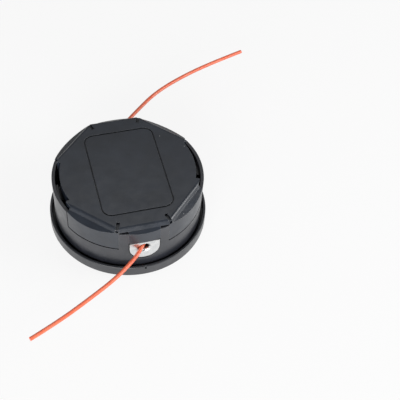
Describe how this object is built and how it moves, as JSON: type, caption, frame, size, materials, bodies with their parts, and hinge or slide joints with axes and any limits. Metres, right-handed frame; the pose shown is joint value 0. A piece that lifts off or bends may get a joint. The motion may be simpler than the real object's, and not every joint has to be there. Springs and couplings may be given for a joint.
{
  "type": "trimmer head",
  "caption": "Bump-feed line trimmer head: latched cover with an eight-sided plateau and a sprung drum over a keyed spool, metal line eyelets with line tails, and a loading dish with a threaded hub.",
  "frame": {"origin": "centre of the hub's flat seat that meets the gearbox, which is the part's lowest face", "axes": "+Z along the spin axis towards the ground side with the cover, -Y out through the front eyelet, latch tabs on +X and -X"},
  "size_m": [0.2039, 0.2258, 0.05],
  "materials": {
    "nylon_black": "satin moulded black nylon",
    "zinc_steel": "zinc plated steel",
    "spring_steel": "oiled spring steel",
    "bronze": "sintered bronze",
    "eyelet_aluminium": "tumbled bright aluminium",
    "line_orange": "extruded nylon line, slightly translucent"
  },
  "bodies": {
    "hub": {"dish": "nylon_black", "shaft_nut": "zinc_steel", "spool": "nylon_black", "wound_line": "line_orange", "wear_washer": "zinc_steel", "spool_washer": "zinc_steel", "retaining_ring": "spring_steel", "spring_seat_washer": "zinc_steel", "feed_spring": "spring_steel"},
    "plunger": {"thrust_washer": "zinc_steel"},
    "drum": {"housing": "nylon_black", "drum_bush": "bronze", "cover": "nylon_black", "eyelet_front": "eyelet_aluminium", "eyelet_rear": "eyelet_aluminium", "line_tail_front": "line_orange", "line_tail_rear": "line_orange"}
  },
  "joints": [
    {"name": "bump", "type": "slide", "parent": "hub", "child": "plunger", "axis": [0, 0, 1], "range_m": [-0.004, 0], "stiffness_N_per_m": 415, "springref_m": 0.03, "deforming": ["feed_spring"]},
    {"name": "drum_turn", "type": "hinge", "parent": "plunger", "child": "drum", "pos_m": [0, 0, 0.0291], "axis": [0, 0, 1], "continuous": true}
  ]
}
